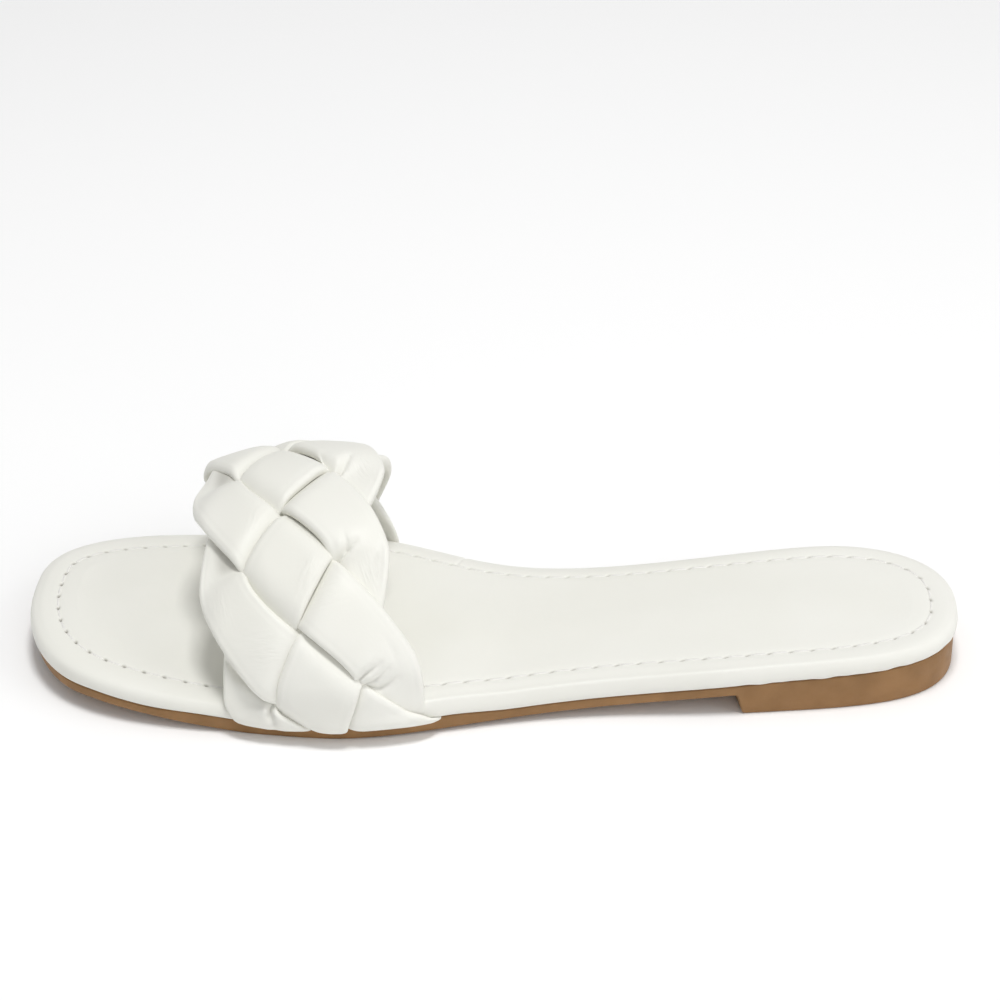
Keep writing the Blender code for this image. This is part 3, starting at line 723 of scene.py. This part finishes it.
# Both ends are pressed flat, bent and turned in between footbed and sole
BEND_START = 2.6
BEND_RADIUS = 1.5
TUCK_RUN = 4.0
SQUEEZE = 0.60
SQUEEZE_START = 4.0
SQUEEZE_RUN = 10.0
TUCK_SQUEEZE = 0.30
TUCK_SQUEEZE_START = -1.0
TUCK_SQUEEZE_RUN = 4.0


def arch_section():
    """Half ellipse with squarer shoulders: cosine and sine raised to two over the power.
    Gives the length along it, its width and rise shares, and its outward direction."""
    angle = np.linspace(0, np.pi, ARC_SAMPLES)
    width = np.sign(np.cos(angle)) * np.abs(np.cos(angle)) ** (2 / ARCH_POWER)
    rise = np.abs(np.sin(angle)) ** (2 / ARCH_POWER)
    run_y, run_z = ARCH_HALF * width + ARCH_SKEW * rise ** 2, ARCH_RISE * rise
    arc = np.concatenate([[0], np.cumsum(np.hypot(np.diff(run_y), np.diff(run_z)))])
    return arc, width, rise, np.gradient(run_z, arc), -np.gradient(run_y, arc)


ARC, ARC_WIDTH, ARC_RISE, ARC_OUT_Y, ARC_OUT_Z = arch_section()
BAND_LENGTH = ARC[-1]
BAND_END = np.pi * BEND_RADIUS / 2 + TUCK_RUN - BEND_START


def band_value(along, name):
    """One line of the band's table at a length along it: a spline over its five stations."""
    return curve_through(BAND_SHARE, BAND_TABLE[name], np.clip(along / BAND_LENGTH, 0, 1))


def band_point(along, across, lift):
    """Point of the band from its length along the arch, its distance across and its lift off the middle.
    Past the bend at each foot the path follows a quarter circle inwards and then runs straight in."""
    kept = np.clip(along, BEND_START, BAND_LENGTH - BEND_START)
    x = band_value(along, "forward") - across
    share = x / LENGTH + 0.5
    width = np.interp(kept, ARC, ARC_WIDTH)
    rise = np.interp(kept, ARC, ARC_RISE)
    side = np.where(width > 0, reach(share, 1) + LAST_LINE_Y, reach(share, -1) - LAST_LINE_Y)
    off_middle = across / BAND_HALF
    foot_out = np.where(width > 0, FOOT_OUT_LATERAL, FOOT_OUT_MEDIAL) - FOOT_TUCK * off_middle ** 2
    y = width * (side + foot_out) + ARCH_SKEW * rise ** 2
    low = seam_height(share) + np.where(width > 0, FOOT_RISE_LATERAL, FOOT_RISE_MEDIAL)
    z = low + (ARCH_TOP - low) * rise * (1 + ARCH_FLARE * off_middle)
    out_y, out_z = np.interp(kept, ARC, ARC_OUT_Y), np.interp(kept, ARC, ARC_OUT_Z)
    past = np.abs(along - kept)
    turn = np.minimum(past / BEND_RADIUS, np.pi / 2)
    outer = np.where(width > 0, 1.0, -1.0)
    y = y - outer * (BEND_RADIUS * (1 - np.cos(turn)) + np.maximum(past - BEND_RADIUS * np.pi / 2, 0))
    z = z - BEND_RADIUS * np.sin(turn)
    size = np.hypot(out_y, out_z)
    out_y, out_z = out_y / size, out_z / size
    lift_y = out_y * np.cos(turn)
    lift_z = np.where(past > 0, -np.sin(turn), out_z)
    return np.stack([x, y + lift * lift_y, z + lift * lift_z], axis=-1)


def strand_wave(phase):
    """Centre line of a strand in columns: arc sine of a sine, a zigzag of four rows with rounded turns."""
    return TURN_SCALE * 4 / np.pi * np.arcsin(TURN_ROUND * np.sin(np.pi * (phase - 0.5) / 2))


def strand_slope(phase):
    """Columns that a strand's centre line gains per row: the derivative of its zigzag."""
    angle = np.pi * (phase - 0.5) / 2
    return TURN_SCALE * 2 * TURN_ROUND * np.cos(angle) / np.sqrt(1 - (TURN_ROUND * np.sin(angle)) ** 2)


def strand_half(phase):
    """Half width of a strand in columns: 1, less a fourth power of a sine where it turns at the edge."""
    return 1 - TURN_NARROW * np.sin(np.pi * (phase - 0.5) / 2) ** 4


def strand_level(phase):
    """Over (1) or under (-1): cosines that go over, under, over on the way across, and reversed on the way
    back."""
    phase = np.mod(phase, 4)
    back = phase >= 2
    local = np.where(back, phase - 2, phase)
    level = np.where(local < 1, np.cos(2 * np.pi * local), np.cos(np.pi * (local - 1)))
    return np.where(back, -level, level)


def column_across(place):
    """Millimetres across the band of a place in columns: a spline through the columns' centres."""
    return curve_through(COLUMN_PLACE, COLUMN_ACROSS, place)


def strip_rows(strand, along, side):
    """Braid row, place in columns and millimetres across of points along one strand, side -1 to 1 across it.
    The row follows from the length along the band less its lean and droop, which depend on the row."""
    row = (along - FIRST_ROW) / ROW_LENGTH
    near_foot = FOOT_CLOSE * np.maximum(1 - along / FOOT_CLOSE_RUN, 0) ** 2
    narrow = FOOT_NARROW * (side < 0) * smooth_step(1 - along / FOOT_NARROW_RUN)
    heel_spread, toe_spread = band_value(along, "heel_spread"), band_value(along, "toe_spread")
    across = np.zeros_like(along)
    for _ in range(ROW_PASSES):
        phase = strand - row
        half = STRIP_WIDTH * strand_half(phase)
        half = half * (1 - narrow * smooth_step((across - FOOT_NARROW_FROM) / FOOT_NARROW_FADE))
        place = strand_wave(phase) + side * half
        across = column_across(place) * np.where(place > 0, heel_spread, toe_spread)
        droop = band_value(along, "droop") * np.maximum(-1 - place, 0) ** 2
        row = (along - FIRST_ROW - band_value(along, "lean") * across + droop) / ROW_LENGTH
        row = row - near_foot * smooth_step((FOOT_CLOSE_EDGE - across) / FOOT_CLOSE_FADE)
    return row, place, across


def fold_lift(strand, along, across):
    """Lift of a strand's listed folds: a narrow trough by the distance to each fold's line, with a low
    lip beside it. Depth and half width run evenly from one place of the line to the next."""
    lift = np.zeros_like(along)
    for folded, places in FOLDS:
        if folded != strand:
            continue
        away, deep, half = np.full_like(along, np.inf), np.zeros_like(along), np.ones_like(along)
        for (a0, c0, d0, h0), (a1, c1, d1, h1) in zip(places, places[1:]):
            run = ((along - a0) * (a1 - a0) + (across - c0) * (c1 - c0)) / ((a1 - a0) ** 2 + (c1 - c0) ** 2)
            run = np.clip(run, 0, 1)
            off = np.hypot(along - a0 - run * (a1 - a0), across - c0 - run * (c1 - c0))
            closer = off < away
            away = np.where(closer, off, away)
            deep = np.where(closer, d0 + run * (d1 - d0), deep)
            half = np.where(closer, h0 + run * (h1 - h0), half)
        trough = np.exp(-(away / half) ** FOLD_POWER)
        lip = np.exp(-((away / half - FOLD_LIP_AT) / FOLD_LIP_HALF) ** 2)
        lift += deep * (FOLD_LIP * lip - trough)
    return lift


def strip_section():
    """Section of a strip: sides as a sine, so they lie close at the edges, faces on a superellipse above and
    below, and a bell each for the edge's bead and groove."""
    above = np.sin(np.linspace(np.pi / 2, -np.pi / 2, STRIP_ABOVE + 1))
    below = np.sin(np.linspace(-np.pi / 2, np.pi / 2, STRIP_BELOW + 1))[1:-1]
    side = np.concatenate([above, below])
    face = np.maximum(1 - np.abs(side) ** STRIP_SQUARE, 0) ** (1 / STRIP_ROUND)
    face[len(above):] *= -1
    bead, groove = [edge["height"] * np.exp(-((np.abs(side) - edge["at"]) / edge["half"]) ** 2)
                    for edge in (EDGE_BEAD, EDGE_GROOVE)]
    bead = bead - groove
    bead[len(above):] = 0
    return side[None, :], face[None, :], bead[None, :]


def strip_wrinkles(strand, along, across):
    """Fine wrinkles of a strip: a bell over each patch, and distances across and along the patch's lines."""
    strength = np.zeros_like(along)
    place = np.zeros((*along.shape, 3))
    for number, (wrinkled, middle, heading, length, width, deep) in enumerate(WRINKLES):
        if wrinkled != strand:
            continue
        ahead = np.array(heading) / np.hypot(*heading)
        run = (along - middle[0]) * ahead[0] + (across - middle[1]) * ahead[1]
        off = (along - middle[0]) * ahead[1] - (across - middle[1]) * ahead[0]
        bell = deep * np.exp(-(run / length) ** 2 - (off / width) ** 2)
        waves = [off / WRINKLE_WAVE, run / (WRINKLE_WAVE * WRINKLE_STRETCH),
                 np.full_like(run, WRINKLE_APART * number)]
        place = np.where((bell > strength)[..., None], np.stack(waves, axis=-1), place)
        strength = np.maximum(strength, bell)
    return strength, place


def wrinkle_bumps(material):
    """Bump of the fine wrinkles: noise in the patch's own distances, times the patch's strength."""
    strength = new_node(material, "ShaderNodeAttribute", attribute_name="wrinkle")
    place = new_node(material, "ShaderNodeAttribute", attribute_name="wrinkle_place")
    lines = new_node(material, "ShaderNodeTexNoise", Scale=1.0, Detail=2.0)
    height = new_node(material, "ShaderNodeMath", operation="MULTIPLY")
    material.node_tree.links.new(place.outputs["Vector"], lines.inputs["Vector"])
    material.node_tree.links.new(lines.outputs["Fac"], height.inputs[0])
    material.node_tree.links.new(strength.outputs["Fac"], height.inputs[1])
    return [(height.outputs["Value"], *WRINKLE_BUMP)]


def strip_surface(strand):
    """One strip: a superellipse section carried along the strand, lifted where it passes over and sunk where
    it passes under. A point's level is read a little ahead or behind by its side, so the strip dips along the
    edge of the one above. Gives its points, how much shade is painted on each under a crossing, and its
    wrinkles."""
    along = np.linspace(-BAND_END, BAND_LENGTH + BAND_END, STRIP_STEPS)[:, None]
    along, side, face, bead = np.broadcast_arrays(along, *strip_section())
    row, place, across = strip_rows(strand, along, side)
    phase = strand - row
    level = strand_level(phase + side * strand_slope(phase) / LEVEL_SHIFT)
    level = np.sign(level) * (1 - (1 - np.abs(level)) ** STRIP_FLAT)
    level = level - STRIP_SUNK * (1 - level ** 2)
    proud = -STRIP_PROUD * side * strand_slope(phase) / 2 * (1 + level) / 2
    from_end = np.minimum(along, BAND_LENGTH - along)
    squeeze = SQUEEZE + (1 - SQUEEZE) * smooth_step((from_end - SQUEEZE_START) / SQUEEZE_RUN)
    tucked_in = smooth_step((from_end - TUCK_SQUEEZE_START) / TUCK_SQUEEZE_RUN)
    squeeze *= TUCK_SQUEEZE / SQUEEZE + (1 - TUCK_SQUEEZE / SQUEEZE) * tucked_in
    folds = fold_lift(strand, along, across) * np.maximum(face, 0)
    sink = band_value(along, "toe_sink") * smooth_step((-across - TOE_SINK_FROM) / TOE_SINK_RUN)
    lift = squeeze * (STRIP_LIFT * level + STRIP_HALF_THICK * face + proud + bead) + folds - sink
    tail = (strand == TAIL_STRAND) * smooth_step(1 - along / TAIL_RUN) * smooth_step(side)
    across = across + TAIL_REACH * tail
    lift = lift + TAIL_LIFT * tail
    # Painted shade on the strip's top where it passes under another, darkening the gaps between strips
    under = UNDER_PAINTED_SHADE * smooth_step((-level - UNDER_FROM) / UNDER_RUN) * (face > 0)
    under = under * smooth_step((UNDER_HEEL_EDGE - place) / UNDER_EDGE_FADE)
    under = under * smooth_step((place - UNDER_TOE_EDGE) / UNDER_EDGE_FADE)
    under = under * smooth_step((from_end - UNDER_FOOT) / UNDER_FOOT_FADE)
    return band_point(along, across, lift), under, *strip_wrinkles(strand, along, across)


strip_leather = white_leather("strip_leather", STRIP_GRAIN, wrinkle_bumps)
for strand in range(STRANDS):
    grid, under, wrinkle, wrinkle_place = strip_surface(strand)
    corner = np.arange(grid.size // 3).reshape(grid.shape[:2])
    after = np.roll(corner, -1, axis=1)
    faces = np.stack([corner[:-1], after[:-1], after[1:], corner[1:]], axis=-1).reshape(-1, 4).tolist()
    faces += [corner[0].tolist(), corner[-1].tolist()]
    strip = add_piece(f"strip_{strand + 1}", grid.reshape(-1, 3), faces, strip_leather)
    # The strip's painted shade under crossings goes into the hole attribute
    set_painted_shade(strip, under.ravel())
    strength = strip.data.attributes.new("wrinkle", "FLOAT", "POINT")
    strength.data.foreach_set("value", wrinkle.ravel())
    lines = strip.data.attributes.new("wrinkle_place", "FLOAT_VECTOR", "POINT")
    lines.data.foreach_set("vector", wrinkle_place.ravel())
    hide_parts("upper")

# Studio
# A pale paper floor, an even pale surround, a light overhead, a wide one far behind the heel and a low one on
# the outer side, and the camera of the picture.
FLOOR_HALF = 4.0
FLOOR_SHADE = (0.97, 0.97, 0.97, 1.0)
SURROUND_STRENGTH = 0.425
# Lights: name, place, target, side length and power
LIGHTS = (
    ("key_light", (-0.08, 0.12, 1.43), (0.0, 0.0, 0.0), 0.35, 10.6),
    ("heel_light", (-3.00, 0.80, 1.80), (0.0, 0.0, 0.02), 2.4, 27.0),
    ("front_light", (-0.30, 1.20, 0.70), (0.0, 0.0, 0.02), 0.9, 2.2),
)
# A light steeper than this takes its sideways direction from the length of the shoe
STEEP_LIGHT = 0.99
CAMERA_PLACE = (-0.03272, 0.59196, 0.41420)
CAMERA_RIGHT = (-0.99909, -0.04274, 0.00142)
CAMERA_UP = (0.02370, -0.52567, 0.85036)
CAMERA_AHEAD = (0.03560, -0.84961, -0.52620)
CAMERA_LENS = 95.95
CAMERA_SHIFT = (-0.0216, -0.0037)


def soft_light(name, place, target, size, power):
    """Square area light at a place, facing a target."""
    lamp = bpy.data.lights.new(name, "AREA")
    lamp.size = size
    lamp.energy = power
    lit = bpy.data.objects.new(name, lamp)
    ahead = np.array(target) - np.array(place)
    ahead = ahead / np.linalg.norm(ahead)
    right = np.cross(ahead, (0.0, 0.0, 1.0) if abs(ahead[2]) < STEEP_LIGHT else (1.0, 0.0, 0.0))
    right /= np.linalg.norm(right)
    up = np.cross(right, ahead)
    lit.matrix_world = Matrix([[right[i], up[i], -ahead[i], place[i]] for i in range(3)] + [[0, 0, 0, 1]])
    bpy.context.scene.collection.objects.link(lit)


floor_mesh = bpy.data.meshes.new("floor")
corners = [(-FLOOR_HALF, -FLOOR_HALF, 0), (FLOOR_HALF, -FLOOR_HALF, 0), (FLOOR_HALF, FLOOR_HALF, 0),
           (-FLOOR_HALF, FLOOR_HALF, 0)]
floor_mesh.from_pydata(corners, [], [(0, 1, 2, 3)])
paper, paper_shader, _ = new_material("pale_paper")
paper_shader.inputs["Base Color"].default_value = FLOOR_SHADE
paper_shader.inputs["Roughness"].default_value = 0.9
paper_shader.inputs["Specular IOR Level"].default_value = 0.1
floor_mesh.materials.append(paper)
floor = bpy.data.objects.new("floor", floor_mesh)
bpy.context.scene.collection.objects.link(floor)

world = bpy.data.worlds.new("studio")
world.use_nodes = True
world.node_tree.nodes["Background"].inputs["Color"].default_value = (1.0, 1.0, 1.0, 1.0)
world.node_tree.nodes["Background"].inputs["Strength"].default_value = SURROUND_STRENGTH
bpy.context.scene.world = world
bpy.context.scene.view_settings.view_transform = "Standard"
for light in LIGHTS:
    soft_light(*light)

lens = bpy.data.cameras.new("camera")
lens.sensor_width = 36.0
lens.lens = CAMERA_LENS
lens.shift_x, lens.shift_y = CAMERA_SHIFT
lens.clip_start = 0.01
camera = bpy.data.objects.new("camera", lens)
axes = zip(CAMERA_RIGHT, CAMERA_UP, CAMERA_AHEAD, CAMERA_PLACE)
rows = [[right, up, -ahead, place] for right, up, ahead, place in axes]
camera.matrix_world = Matrix(rows + [[0, 0, 0, 1]])
bpy.context.scene.collection.objects.link(camera)
bpy.context.scene.camera = camera
